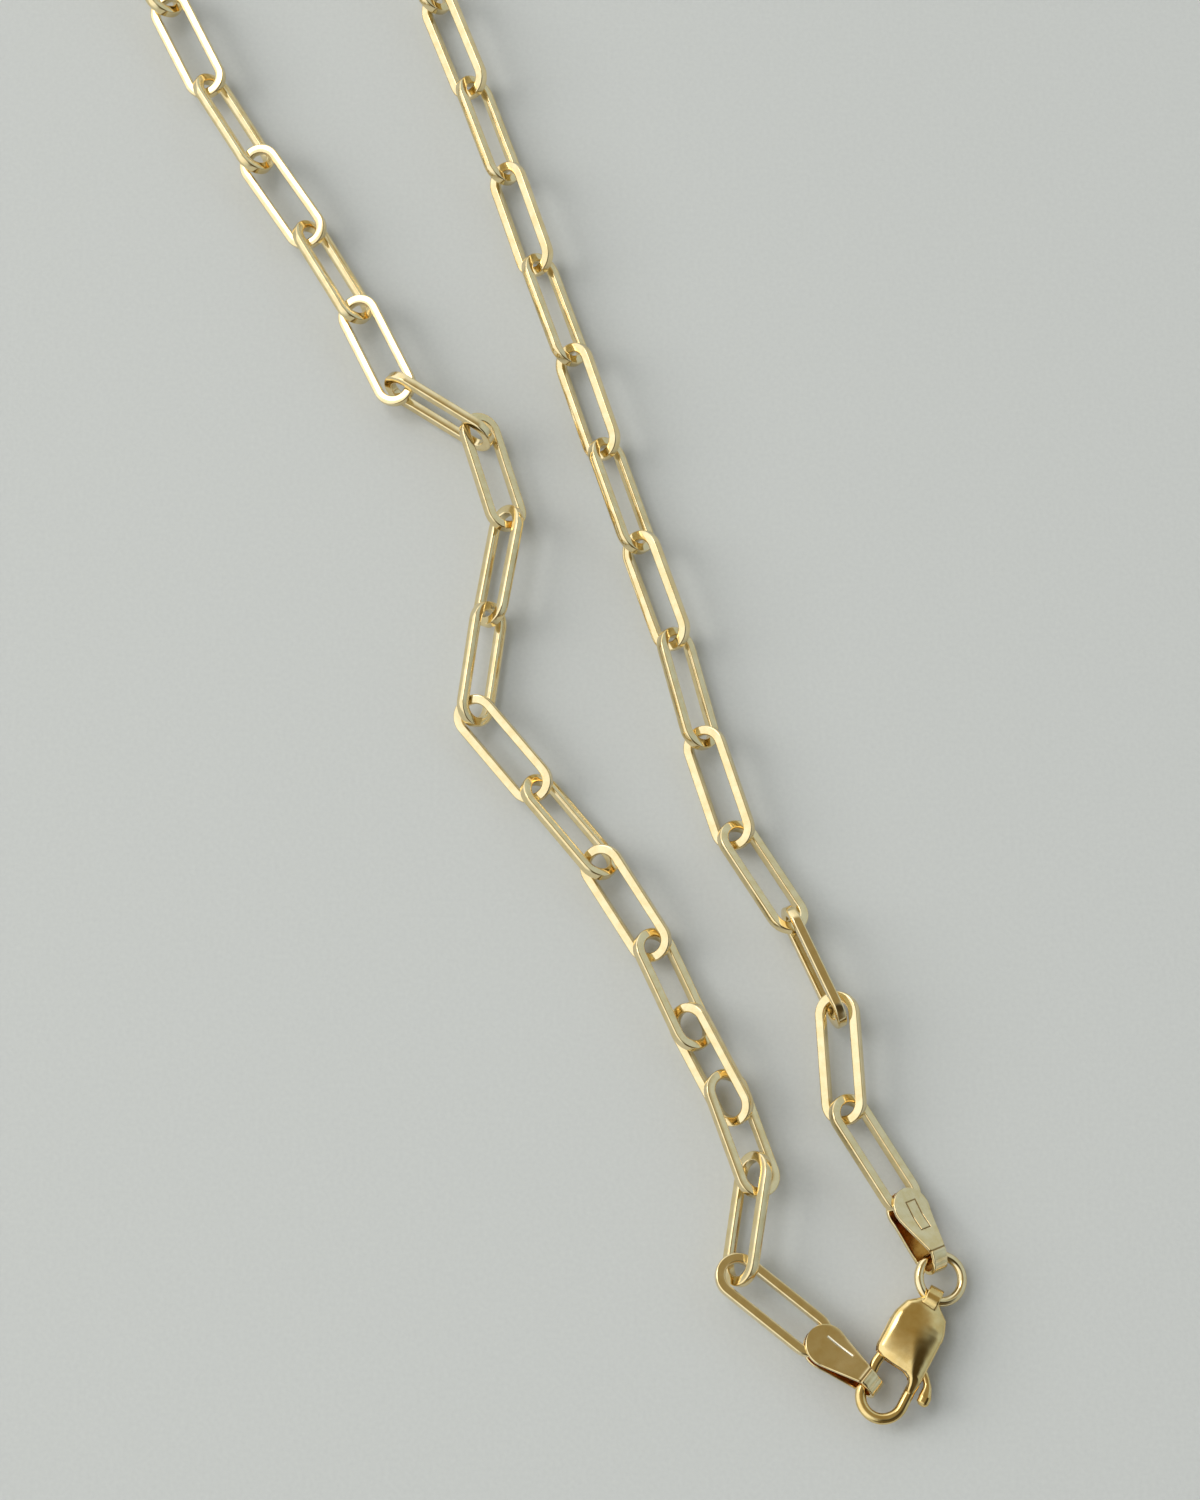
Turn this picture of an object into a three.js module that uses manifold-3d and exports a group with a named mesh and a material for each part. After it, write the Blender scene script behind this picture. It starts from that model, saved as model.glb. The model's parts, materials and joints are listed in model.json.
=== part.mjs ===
// Paperclip chain necklace in gold, lying closed on a flat surface.
// Millimetres and degrees, +Z up. X and Y are centred on the piece and the surface is at z = 0.
import * as THREE from 'three';
import { mergeVertices } from 'three/addons/utils/BufferGeometryUtils.js';
import Module from 'manifold-3d';

const wasm = await Module();
wasm.setup();

// Driving sizes of the links: long ovals of square wire.
const LINK_LENGTH = 11.15;
const LINK_WIDTH = 3.85;
const WIRE = 0.8;
const WIRE_CHAMFER = 0.1;
const LINK_END_STEPS = 3;
const NECKLACE_LENGTH = 406;
const HIDDEN_GAP = 0.75;
const HIDDEN_ROLL = 40;
const FIRST_SWELL = 40;

// Driving sizes of the folded end tabs.
const TAB_LENGTH = 7.2;
const TAB_WIDTH = 3.45;
const TAB_NECK_WIDTH = 1.45;
const TAB_NECK_LENGTH = 1.5;
const TAB_PLATE = 0.35;
const TAB_GRIP = 2.0;
const TAB_SHOULDER_HEIGHT = 2.8;
const TAB_NOSE_RADIUS = 1.0;
const TAB_SOLDER_BITE = 0.04;
const TAB_SEAT = 1.3;

// Driving sizes of the jump ring.
const RING_DIAMETER = 4.5;
const RING_WIRE = 0.8;
const RING_TILT = 15;

// Driving sizes of the lobster clasp. Its length axis runs from the tail loop to the hook.
const CLASP_LENGTH = 12.0;
const CLASP_WIDTH = 4.6;
const CLASP_THICKNESS = 2.4;
const CLASP_EDGE_THICKNESS = 1.25;
const CLASP_BODY_LENGTH = 5.85;
const HOOK_WIRE = 0.92;
const TAIL_WIDTH = 1.2;
const TAIL_WALL = 0.3;
const RING_PLAY = 0.38;
const GATE_OPENING = 1.7;
const LEVER_THICKNESS = 0.7;
const LEVER_SIDE_GAP = 0.1;
const GATE_END_GAP = 0.1;
const LEVER_BOSS_RADIUS = 0.85;
const GATE_WIDTH = 0.9;
const NUB_RADIUS = 0.58;
const PIN_RADIUS = 0.3;
const PIN_FIT = 0.06;
const PIN_SETTING = 0.45;

// How the pieces lie: heights above the surface and headings, clockwise from +Y.
const CLASP_HEADING = 208.5;
const CLASP_HEIGHT = 1.36;
const RING_HEIGHT = 1.25;
const RING_TO_TAIL = 204.5;
const RING_TO_TAB = -23;
const RING_TAB = { heading: -25, turn: -8, roll: -29, gap: 1.0, side: 0 };
const HOOK_TAB = { heading: -50, turn: -1.5, roll: -11, gap: 1.7, side: 0.7 };

// The seen stretch of chain from the ring tab, one row a link. roll lifts the right side
// (positive) or the left side (negative). gap is the play at the link's far joint, and side
// is how far to the right of this link's middle line the next link hangs there.
const RING_STRAND = [
  { heading: -3.4, roll: 27, gap: 1.60, side: -0.2 },
  { heading: -24.5, roll: 84, gap: 0.80, side: 0 },
  { heading: -31.7, roll: -28, gap: 1.00, side: 0 },
  { heading: -18.0, roll: 26, gap: 0.50, side: 0 },
  { heading: -14.9, roll: -38, gap: 0.45, side: 0 },
  { heading: -19.1, roll: 40, gap: 0.45, side: 0 },
  { heading: -18.8, roll: -40, gap: 0.45, side: 0 },
  { heading: -18.2, roll: 40, gap: 0.45, side: 0 },
  { heading: -19.4, roll: -40, gap: 0.45, side: 0 },
  { heading: -18.5, roll: 40, gap: 0.45, side: 0 },
  { heading: -19.9, roll: -40, gap: 0.50, side: 0 },
  { heading: -21.1, roll: 40, gap: 0.60, side: 0 },
];

// The seen stretch of chain from the hook tab.
const HOOK_STRAND = [
  { heading: 9.0, roll: 50, gap: 2.30, side: 0.3 },
  { heading: -19.4, roll: -21, gap: 3.30, side: 0 },
  { heading: -27.4, roll: 36, gap: 2.60, side: 0 },
  { heading: -24.5, roll: -28, gap: 1.26, side: 0 },
  { heading: -32.2, roll: 22, gap: 1.48, side: 0 },
  { heading: -39.6, roll: -37, gap: 0.80, side: 0 },
  { heading: -39.8, roll: 17, gap: 1.30, side: 0.3 },
  { heading: 7.7, roll: -46, gap: 0.70, side: 0 },
  { heading: 9.8, roll: 46, gap: 0.80, side: 0 },
  { heading: -17.6, roll: -29, gap: 2.00, side: -0.4 },
  { heading: -57.2, roll: 76, gap: 1.20, side: -0.3 },
  { heading: -26.0, roll: 14, gap: 1.05, side: 0 },
  { heading: -30.9, roll: -42, gap: 1.05, side: 0 },
  { heading: -34.0, roll: 14, gap: 1.07, side: 0 },
  { heading: -31.9, roll: -42, gap: 0.70, side: 0 },
  { heading: -26.4, roll: 14, gap: 0.70, side: 0 },
];

// Sizes that follow from the driving ones.
const INNER_LENGTH = LINK_LENGTH - 2 * WIRE;
const INNER_RADIUS = LINK_WIDTH / 2 - WIRE;
const WIRE_CENTRE = (LINK_WIDTH - WIRE) / 2;
const TAB_PIVOT = TAB_LENGTH - TAB_GRIP + LINK_WIDTH / 2;
const TAB_REACH = LINK_LENGTH - LINK_WIDTH / 2 - WIRE;
const RING_RADIUS = (RING_DIAMETER - RING_WIRE) / 2;
const TAIL_HOLE_RADIUS = RING_WIRE / 2 + RING_PLAY;
const TAIL_RADIUS = TAIL_HOLE_RADIUS + TAIL_WALL;
const BODY_START = TAIL_RADIUS + TAIL_WALL;
const BODY_END = BODY_START + CLASP_BODY_LENGTH;
const HOOK_RADIUS = (CLASP_WIDTH - HOOK_WIRE) / 2 - HOOK_WIRE / 9;
const HOOK_CENTRE = CLASP_LENGTH - HOOK_RADIUS - HOOK_WIRE / 2;
const HOOK_TIP = BODY_END + GATE_OPENING;
const PIVOT = { x: 0.3, y: BODY_START + CLASP_BODY_LENGTH * 0.6 };
const GATE_REACH = HOOK_TIP - GATE_END_GAP - PIVOT.y;
const SLOT_THICKNESS = LEVER_THICKNESS + 2 * LEVER_SIDE_GAP;

const GOLD = { color: 0xd9b565, roughness: 0.2, metalness: 1.0 };
const GOLD_SHADED = { color: 0xc79c4c, roughness: 0.25, metalness: 1.0 };

const rad = THREE.MathUtils.degToRad;

// Turn a three.js geometry into a solid for boolean work.
function toSolid(geometry) {
  const bare = geometry.index ? geometry.toNonIndexed() : geometry.clone();
  bare.deleteAttribute('normal');
  bare.deleteAttribute('uv');
  const merged = mergeVertices(bare, 1e-4);
  return new wasm.Manifold(new wasm.Mesh({
    numProp: 3,
    vertProperties: new Float32Array(merged.attributes.position.array),
    triVerts: new Uint32Array(merged.index.array),
  }));
}

// Turn a solid back into a three.js geometry.
function toGeometry(solid) {
  const mesh = solid.getMesh();
  const geometry = new THREE.BufferGeometry();
  geometry.setAttribute('position', new THREE.BufferAttribute(mesh.vertProperties, 3));
  geometry.setIndex(new THREE.BufferAttribute(mesh.triVerts, 1));
  geometry.computeVertexNormals();
  return geometry;
}

// Extrude a shape by a depth centred on zero, along one axis.
// Along z the shape is in (x, y), along y in (x, z), and along x in (y, z).
function prism(shape, depth, along, steps = 12) {
  const geometry = new THREE.ExtrudeGeometry(shape, { depth, bevelEnabled: false, curveSegments: steps });
  geometry.translate(0, 0, -depth / 2);
  const x = new THREE.Vector3(1, 0, 0);
  const y = new THREE.Vector3(0, 1, 0);
  const z = new THREE.Vector3(0, 0, 1);
  const basis = new THREE.Matrix4();
  if (along === 'y') basis.makeBasis(x, z, y.clone().negate());
  if (along === 'x') basis.makeBasis(y, z, x);
  geometry.applyMatrix4(basis);
  return geometry;
}

function polygon(points) {
  return new THREE.Shape(points.map(([x, y]) => new THREE.Vector2(x, y)));
}

// A rectangle with semicircular ends along y: the outline of a link or of its opening.
function stadium(PathClass, width, length) {
  const radius = width / 2;
  const straight = length / 2 - radius;
  const path = new PathClass();
  path.absarc(0, straight, radius, 0, Math.PI, false);
  path.absarc(0, -straight, radius, Math.PI, 2 * Math.PI, false);
  path.closePath();
  return path;
}

// One link, centred, long along y, flat in the xy plane, its corners chamfered.
function linkGeometry() {
  const shape = stadium(THREE.Shape, LINK_WIDTH, LINK_LENGTH);
  shape.holes.push(stadium(THREE.Path, LINK_WIDTH - 2 * WIRE, INNER_LENGTH));
  const geometry = new THREE.ExtrudeGeometry(shape, {
    depth: WIRE - 2 * WIRE_CHAMFER,
    curveSegments: LINK_END_STEPS,
    bevelEnabled: true,
    bevelSegments: 1,
    bevelSize: WIRE_CHAMFER,
    bevelThickness: WIRE_CHAMFER,
    bevelOffset: -WIRE_CHAMFER,
  });
  geometry.translate(0, 0, -(WIRE / 2 - WIRE_CHAMFER));
  return geometry;
}

// Outline of a tab's leaves seen from above: a narrow neck at y = 0 and a round wide end.
function leafOutline() {
  const radius = TAB_WIDTH / 2;
  const neck = TAB_NECK_WIDTH / 2;
  const centre = TAB_LENGTH - radius;
  const away = Math.hypot(neck, centre - TAB_NECK_LENGTH);
  const lean = Math.asin(radius / away) - Math.atan2(neck, centre - TAB_NECK_LENGTH);
  const shape = new THREE.Shape();
  shape.moveTo(-neck, -1);
  shape.lineTo(neck, -1);
  shape.lineTo(neck, TAB_NECK_LENGTH);
  shape.absarc(0, centre, radius, -lean, Math.PI + lean, false);
  shape.lineTo(-neck, TAB_NECK_LENGTH);
  return shape;
}

// The folded plate seen from its side: two leaves that close on the link's wire at the
// grip, spread towards a shoulder and meet in a round nose.
function foldProfile() {
  const grip = TAB_LENGTH - TAB_GRIP - TAB_PLATE;
  const inner = WIRE / 2 - TAB_SOLDER_BITE;
  const outer = inner + TAB_PLATE;
  const shoulder = TAB_SHOULDER_HEIGHT / 2;
  const past = TAB_LENGTH + 1;
  const turn = rad(115);
  const shape = new THREE.Shape();
  shape.moveTo(past, outer);
  shape.lineTo(grip, outer);
  shape.lineTo(TAB_NECK_LENGTH, shoulder);
  shape.absarc(TAB_NOSE_RADIUS, 0, TAB_NOSE_RADIUS, turn, 2 * Math.PI - turn, false);
  shape.lineTo(TAB_NECK_LENGTH, -shoulder);
  shape.lineTo(grip, -outer);
  shape.lineTo(past, -outer);
  shape.lineTo(past, -inner);
  shape.lineTo(grip, -inner);
  shape.lineTo(TAB_NECK_LENGTH, TAB_PLATE - shoulder);
  shape.absarc(TAB_NOSE_RADIUS, 0, TAB_NOSE_RADIUS - TAB_PLATE, 2 * Math.PI - turn, turn, true);
  shape.lineTo(TAB_NECK_LENGTH, shoulder - TAB_PLATE);
  shape.lineTo(grip, inner);
  shape.lineTo(past, inner);
  return shape;
}

// A folded tab with its link soldered between the leaves. y = 0 is the nose of the fold, and
// turn swings the link clockwise about the middle of its gripped end.
function tabGeometry(turn) {
  const side = toSolid(prism(foldProfile(), TAB_WIDTH + 1, 'x', 8));
  const plan = toSolid(prism(leafOutline(), TAB_SHOULDER_HEIGHT + 1, 'z', 8));
  const link = linkGeometry();
  link.translate(0, (LINK_LENGTH - LINK_WIDTH) / 2, 0);
  link.rotateZ(-rad(turn));
  link.translate(0, TAB_PIVOT, 0);
  return toGeometry(side.intersect(plan).add(toSolid(link)));
}

function ringGeometry() {
  const profile = [];
  const sides = 8;
  for (let i = 0; i <= sides; i += 1) {
    const turn = (i % sides) * 2 * Math.PI / sides + Math.PI / sides;
    const reach = RING_WIRE / 2;
    profile.push(new THREE.Vector2(RING_RADIUS + reach * Math.cos(turn), reach * Math.sin(turn)));
  }
  const geometry = new THREE.LatheGeometry(profile, 20);
  geometry.rotateX(Math.PI / 2);
  return geometry;
}

// Middle line of the hook: down the side arm, half round the end and up to the tip.
class HookLine extends THREE.Curve {
  getPoint(share, target = new THREE.Vector3()) {
    const arm = HOOK_CENTRE - (BODY_END - 1);
    const round = Math.PI * HOOK_RADIUS;
    const tip = HOOK_CENTRE - HOOK_TIP;
    const way = share * (arm + round + tip);
    if (way < arm) return target.set(-HOOK_RADIUS, BODY_END - 1 + way, 0);
    if (way > arm + round) return target.set(HOOK_RADIUS, HOOK_CENTRE - (way - arm - round), 0);
    const turn = Math.PI - (way - arm) / HOOK_RADIUS;
    return target.set(HOOK_RADIUS * Math.cos(turn), HOOK_CENTRE + HOOK_RADIUS * Math.sin(turn), 0);
  }
}

function hookSolid() {
  const section = new THREE.Shape();
  section.absarc(0, 0, HOOK_WIRE / 2, 0, 2 * Math.PI, false);
  const geometry = new THREE.ExtrudeGeometry(section, {
    steps: 24,
    curveSegments: 4,
    bevelEnabled: false,
    extrudePath: new HookLine(),
  });
  return toSolid(geometry);
}

// Plan outline of the clasp's body, with the tongue that carries the hook's arm.
function bodyOutline() {
  const half = CLASP_WIDTH / 2;
  const neck = TAIL_WIDTH / 2;
  const corner = half * 0.28;
  const eye = half - HOOK_WIRE;
  const shape = new THREE.Shape();
  shape.moveTo(neck, TAIL_RADIUS);
  shape.bezierCurveTo(half * 0.8, BODY_START, half, BODY_START + half * 0.4, half, BODY_START + half);
  shape.lineTo(half, BODY_END - corner);
  shape.quadraticCurveTo(half, BODY_END, half - corner, BODY_END);
  shape.lineTo(half * 0.4, BODY_END);
  shape.quadraticCurveTo(-eye * 0.9, BODY_END - eye * 0.6, -eye, BODY_END + eye * 0.6);
  shape.lineTo(-eye, HOOK_TIP);
  shape.lineTo(-half, HOOK_TIP);
  shape.lineTo(-half, BODY_START + half);
  shape.bezierCurveTo(-half, BODY_START + half * 0.4, -half * 0.8, BODY_START, -neck, TAIL_RADIUS);
  return shape;
}

// Cross-section of the body: a low pillow on one side and a long facet on the other.
function bodySection() {
  const half = CLASP_WIDTH / 2;
  const top = CLASP_THICKNESS / 2;
  const edge = CLASP_EDGE_THICKNESS / 2;
  return polygon([
    [-half - 0.01, edge], [-half - 0.01, -edge], [-half * 0.17, -top], [half * 0.55, -top * 0.97],
    [half * 0.86, -top * 0.84], [half + 0.01, -edge], [half + 0.01, edge], [half * 0.86, top * 0.84],
    [half * 0.55, top * 0.97], [-half * 0.17, top],
  ]);
}

// The body seen from its side: thin at the tail, full in the middle, thin where it meets the hook.
function bodySide() {
  const top = CLASP_THICKNESS / 2;
  const thin = HOOK_WIRE / 2;
  const rise = BODY_START + CLASP_WIDTH * 0.35;
  const fall = BODY_END - CLASP_WIDTH * 0.3;
  const end = HOOK_TIP + 0.01;
  return polygon([
    [TAIL_RADIUS - 0.01, TAIL_HOLE_RADIUS], [TAIL_RADIUS - 0.01, -TAIL_HOLE_RADIUS], [rise, -top],
    [fall, -top], [end, -thin], [end, thin], [fall, top], [rise, top],
  ]);
}

function crossCylinder(radius, length, y, sides = 20) {
  const geometry = new THREE.CylinderGeometry(radius, radius, length, sides);
  geometry.rotateZ(Math.PI / 2);
  geometry.translate(0, y, 0);
  return toSolid(geometry);
}

function uprightCylinder(radius, length, place, sides = 16) {
  const geometry = new THREE.CylinderGeometry(radius, radius, length, sides);
  geometry.rotateX(Math.PI / 2);
  geometry.translate(place.x, place.y, 0);
  return geometry;
}

// The lever's slot runs through the body from side to side, from behind the boss to the eye.
function slotSolid() {
  const length = BODY_END + HOOK_WIRE / 2 - (PIVOT.y - LEVER_BOSS_RADIUS - LEVER_SIDE_GAP * 2);
  const geometry = new THREE.BoxGeometry(CLASP_WIDTH + 2, length, SLOT_THICKNESS);
  geometry.translate(0, BODY_END + HOOK_WIRE / 2 - length / 2, 0);
  return toSolid(geometry);
}

function claspBodyGeometry() {
  const shell = toSolid(prism(bodyOutline(), CLASP_THICKNESS + 1, 'z', 8))
    .intersect(toSolid(prism(bodySection(), CLASP_LENGTH * 4, 'y')))
    .intersect(toSolid(prism(bodySide(), CLASP_WIDTH + 1, 'x')))
    .add(hookSolid())
    .subtract(slotSolid());
  const pinSocket = PIN_RADIUS + PIN_FIT;
  const pinHole = uprightCylinder(pinSocket, SLOT_THICKNESS + 2 * PIN_SETTING + 2 * PIN_FIT, PIVOT);
  const solid = shell
    .add(crossCylinder(TAIL_RADIUS, TAIL_WIDTH, TAIL_RADIUS))
    .subtract(crossCylinder(TAIL_HOLE_RADIUS, TAIL_WIDTH + 1, TAIL_RADIUS))
    .subtract(toSolid(pinHole));
  return toGeometry(solid);
}

// Plan outline of the lever's gate arm, whose end is an arc about the pivot.
function gateOutline() {
  const outside = CLASP_WIDTH / 2 - HOOK_WIRE / 5 - PIVOT.x;
  const inside = outside - GATE_WIDTH;
  const reach = GATE_REACH;
  const shape = new THREE.Shape();
  shape.moveTo(0, 0);
  shape.lineTo(LEVER_BOSS_RADIUS, 0);
  shape.lineTo(outside, (BODY_END - PIVOT.y) * 0.7);
  shape.absarc(0, 0, reach, Math.acos(outside / reach), Math.acos(inside / reach), false);
  shape.lineTo(inside, (BODY_END - PIVOT.y) * 0.8);
  return shape;
}

// Plan outline of the arm that leaves the body's other side and carries the thumb nub.
function nubOutline(nub) {
  const side = -(CLASP_WIDTH / 2 + LEVER_SIDE_GAP + 0.05) - PIVOT.x;
  const leave = BODY_END - PIVOT.y;
  return polygon([
    [0, LEVER_BOSS_RADIUS], [-LEVER_BOSS_RADIUS, 0], [side - NUB_RADIUS * 0.3, leave * 0.72],
    [nub.x - NUB_RADIUS * 0.8, nub.y - NUB_RADIUS * 0.6], [nub.x, nub.y],
    [side, nub.y - NUB_RADIUS * 0.6], [side, leave],
  ]);
}

function leverGeometry() {
  const nub = {
    x: -(CLASP_WIDTH / 2 + LEVER_SIDE_GAP + 0.05) - PIVOT.x - NUB_RADIUS,
    y: HOOK_TIP - HOOK_WIRE / 2 - PIVOT.y,
  };
  const ball = new THREE.SphereGeometry(NUB_RADIUS, 12, 8);
  ball.translate(nub.x, nub.y, 0);
  const origin = { x: 0, y: 0 };
  const boss = toSolid(uprightCylinder(LEVER_BOSS_RADIUS, LEVER_THICKNESS, origin, 20));
  const solid = boss
    .add(toSolid(prism(gateOutline(), LEVER_THICKNESS, 'z', 6)))
    .add(toSolid(prism(nubOutline(nub), LEVER_THICKNESS, 'z')))
    .add(toSolid(ball))
    .subtract(toSolid(uprightCylinder(PIN_RADIUS + PIN_FIT, LEVER_THICKNESS + 1, origin)));
  return toGeometry(solid);
}

function pinGeometry() {
  const origin = { x: 0, y: 0 };
  return uprightCylinder(PIN_RADIUS, SLOT_THICKNESS + 2 * PIN_SETTING, origin);
}

function namedMesh(name, geometry, finish) {
  const mesh = new THREE.Mesh(geometry, new THREE.MeshStandardMaterial(finish));
  mesh.name = name;
  return mesh;
}

// Unit step in plan along a heading.
function along(heading) {
  return new THREE.Vector2(Math.sin(rad(heading)), Math.cos(rad(heading)));
}

function lay(mesh, place, heading, pitch, roll) {
  mesh.position.copy(place);
  mesh.rotation.set(pitch, -rad(roll), -rad(heading), 'ZXY');
  return mesh;
}

// Height of a link's axis when it lies on one of its long sides at a roll.
function restHeight(roll) {
  const turn = rad(Math.abs(roll));
  return WIRE / 2 * (Math.cos(turn) + Math.sin(turn)) + WIRE_CENTRE * Math.sin(turn);
}

// Height of a link's end: its own rest, or as high as a steeper neighbour's middle lifts it.
function endHeight(roll, neighbour) {
  return Math.max(restHeight(roll), restHeight(neighbour));
}

// A link between two joints in plan. gapNear and gapFar are the play at each joint.
function linkBetween(near, heading, gapNear, roll, heights) {
  const step = along(heading);
  const middle = near.clone().addScaledVector(step, (INNER_LENGTH - gapNear) / 2);
  const place = new THREE.Vector3(middle.x, middle.y, (heights[0] + heights[1]) / 2);
  return { place, heading, pitch: Math.asin((heights[1] - heights[0]) / INNER_LENGTH), roll };
}

// Walk a strand from its tab's joint. Each row gives one link, and the last joint is returned.
function walkStrand(start, tab, rows, rollAfter) {
  const links = [];
  let joint = start.clone();
  let gapNear = tab.gap;
  let rollBefore = tab.roll;
  rows.forEach((row, i) => {
    const next = i + 1 < rows.length ? rows[i + 1].roll : rollAfter;
    const heights = [endHeight(row.roll, rollBefore), endHeight(row.roll, next)];
    links.push(linkBetween(joint, row.heading, gapNear, row.roll, heights));
    const reach = INNER_LENGTH - (gapNear + row.gap) / 2;
    joint = joint.clone().addScaledVector(along(row.heading), reach)
      .addScaledVector(along(row.heading + 90), row.side);
    gapNear = row.gap;
    rollBefore = row.roll;
  });
  return { links, joint };
}

// Height of a tab's axis when the edge of its wide end rests on the surface at a roll.
function tabRest(roll) {
  const turn = rad(Math.abs(roll));
  return Math.sin(turn) * TAB_WIDTH / 2 + Math.cos(turn) * (WIRE / 2 + TAB_PLATE);
}

// Lay a tab with its seat over a wire at a point, and give the joint at its link's far end.
function layTab(name, tab, seat, neighbour) {
  const mesh = namedMesh(name, tabGeometry(tab.turn), GOLD);
  const step = along(tab.heading);
  const nose = new THREE.Vector2(seat.x, seat.y).addScaledVector(step, -TAB_SEAT);
  const linkReach = TAB_REACH - tab.gap / 2;
  const rise = Math.max(tabRest(tab.roll), restHeight(neighbour)) - seat.z;
  const sideways = linkReach * Math.sin(rad(tab.turn));
  const onward = TAB_PIVOT + linkReach * Math.cos(rad(tab.turn));
  const lean = Math.asin((rise - sideways * Math.sin(rad(tab.roll))) / onward);
  lay(mesh, new THREE.Vector3(nose.x, nose.y, seat.z), tab.heading, lean, tab.roll);
  const linkHeading = tab.heading + tab.turn;
  const joint = nose.clone().addScaledVector(step, TAB_PIVOT)
    .addScaledVector(along(linkHeading), linkReach)
    .addScaledVector(along(linkHeading + 90), tab.side);
  return { mesh, joint };
}

// Headings of the hidden links: an even turn with two swells on it.
function loopHeadings(count, start, turn, swell) {
  return Array.from({ length: count }, (_, i) => {
    const share = (i + 0.5) / count;
    const wave = 2 * Math.PI * share;
    return start + turn * share + swell.x * Math.sin(wave) + swell.y * (1 - Math.cos(wave));
  });
}

// The hidden links' headings from one strand's last joint to the other's. Newton's method
// sizes the two swells so that steps of one link's pitch end on the far joint.
function closingHeadings(count, from, fromHeading, to, toHeading, step) {
  const turn = toHeading - 180 - fromHeading;
  const miss = (swell) => loopHeadings(count, fromHeading, turn, swell)
    .reduce((sum, heading) => sum.addScaledVector(along(heading), step), from.clone()).sub(to);
  const swell = new THREE.Vector2(FIRST_SWELL, 0);
  for (let i = 0; i < 20; i += 1) {
    const off = miss(swell);
    const first = miss(new THREE.Vector2(swell.x + 0.01, swell.y)).sub(off).divideScalar(0.01);
    const second = miss(new THREE.Vector2(swell.x, swell.y + 0.01)).sub(off).divideScalar(0.01);
    const size = first.x * second.y - first.y * second.x;
    swell.x -= (off.x * second.y - off.y * second.x) / size;
    swell.y -= (first.x * off.y - first.y * off.x) / size;
  }
  return loopHeadings(count, fromHeading, turn, swell);
}

// The hidden links, laid joint to joint round the closing loop with alternate rolls.
function hiddenLinks(headings, from, firstRoll, rollBefore, rollAfter) {
  const rolls = headings.map((_, i) => (i % 2 ? -firstRoll : firstRoll));
  let joint = from.clone();
  return headings.map((heading, i) => {
    const before = i > 0 ? rolls[i - 1] : rollBefore;
    const after = i + 1 < rolls.length ? rolls[i + 1] : rollAfter;
    const heights = [endHeight(rolls[i], before), endHeight(rolls[i], after)];
    const link = linkBetween(joint, heading, HIDDEN_GAP, rolls[i], heights);
    joint = joint.clone().addScaledVector(along(heading), INNER_LENGTH - HIDDEN_GAP);
    return link;
  });
}

// The same link seen from its other end.
function turnedRound(link) {
  return { ...link, heading: link.heading + 180, pitch: -link.pitch, roll: -link.roll };
}

const necklace = new THREE.Group();

// The clasp lies with its tail loop over the ring's wire.
const ringCentre = new THREE.Vector2(0, 0);
const tailSeat = ringCentre.clone().addScaledVector(along(RING_TO_TAIL), RING_RADIUS);
const claspStart = tailSeat.clone().addScaledVector(along(CLASP_HEADING), -TAIL_RADIUS);
const clasp = new THREE.Group();
clasp.position.set(claspStart.x, claspStart.y, CLASP_HEIGHT);
clasp.rotation.z = -rad(CLASP_HEADING);
clasp.add(namedMesh('clasp_body', claspBodyGeometry(), GOLD));
const hinge = new THREE.Group();
hinge.position.set(PIVOT.x, PIVOT.y, 0);
hinge.add(namedMesh('clasp_lever', leverGeometry(), GOLD_SHADED));
hinge.add(namedMesh('clasp_pin', pinGeometry(), GOLD_SHADED));
clasp.add(hinge);
necklace.add(clasp);

const ring = namedMesh('jump_ring', ringGeometry(), GOLD);
ring.position.set(ringCentre.x, ringCentre.y, RING_HEIGHT);
ring.rotation.y = rad(RING_TILT);
necklace.add(ring);

// The two tabs: one over the ring's far side, one over the hook's tip.
ring.updateMatrix();
const ringTurn = rad(RING_TO_TAB);
const ringSeat = new THREE.Vector3(Math.sin(ringTurn), Math.cos(ringTurn), 0)
  .multiplyScalar(RING_RADIUS).applyMatrix4(ring.matrix);
const ringTab = layTab('ring_end_tab', RING_TAB, ringSeat, RING_STRAND[0].roll);
clasp.updateMatrix();
const hookSeat = new THREE.Vector3(HOOK_RADIUS, HOOK_CENTRE - HOOK_WIRE / 2, 0)
  .applyMatrix4(clasp.matrix);
const hookTab = layTab('hook_end_tab', HOOK_TAB, hookSeat, HOOK_STRAND[0].roll);
necklace.add(ringTab.mesh, hookTab.mesh);

// Both seen strands, and the hidden links that close the necklace.
const ringEnd = RING_STRAND[RING_STRAND.length - 1];
const hookEnd = HOOK_STRAND[HOOK_STRAND.length - 1];
const ringStrand = walkStrand(ringTab.joint, RING_TAB, RING_STRAND, -HIDDEN_ROLL);
const hookStrand = walkStrand(hookTab.joint, HOOK_TAB, HOOK_STRAND, -HIDDEN_ROLL);
const pitch = INNER_LENGTH - HIDDEN_GAP;
const hookArm = new THREE.Vector2(hookSeat.x, hookSeat.y);
const fasteningLength = ringTab.joint.distanceTo(ringCentre) + ringCentre.distanceTo(hookArm)
  + hookArm.distanceTo(hookTab.joint);
const seenGaps = [...RING_STRAND, ...HOOK_STRAND].reduce((sum, row) => sum + row.gap, 0);
const seenLength = fasteningLength + INNER_LENGTH * (RING_STRAND.length + HOOK_STRAND.length) - seenGaps;
const hiddenCount = 2 * Math.round((NECKLACE_LENGTH - seenLength) / pitch / 2);
const headings = closingHeadings(
  hiddenCount, ringStrand.joint, ringEnd.heading, hookStrand.joint, hookEnd.heading, pitch);
const hidden = hiddenLinks(headings, ringStrand.joint, -HIDDEN_ROLL, ringEnd.roll, -hookEnd.roll);
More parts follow.
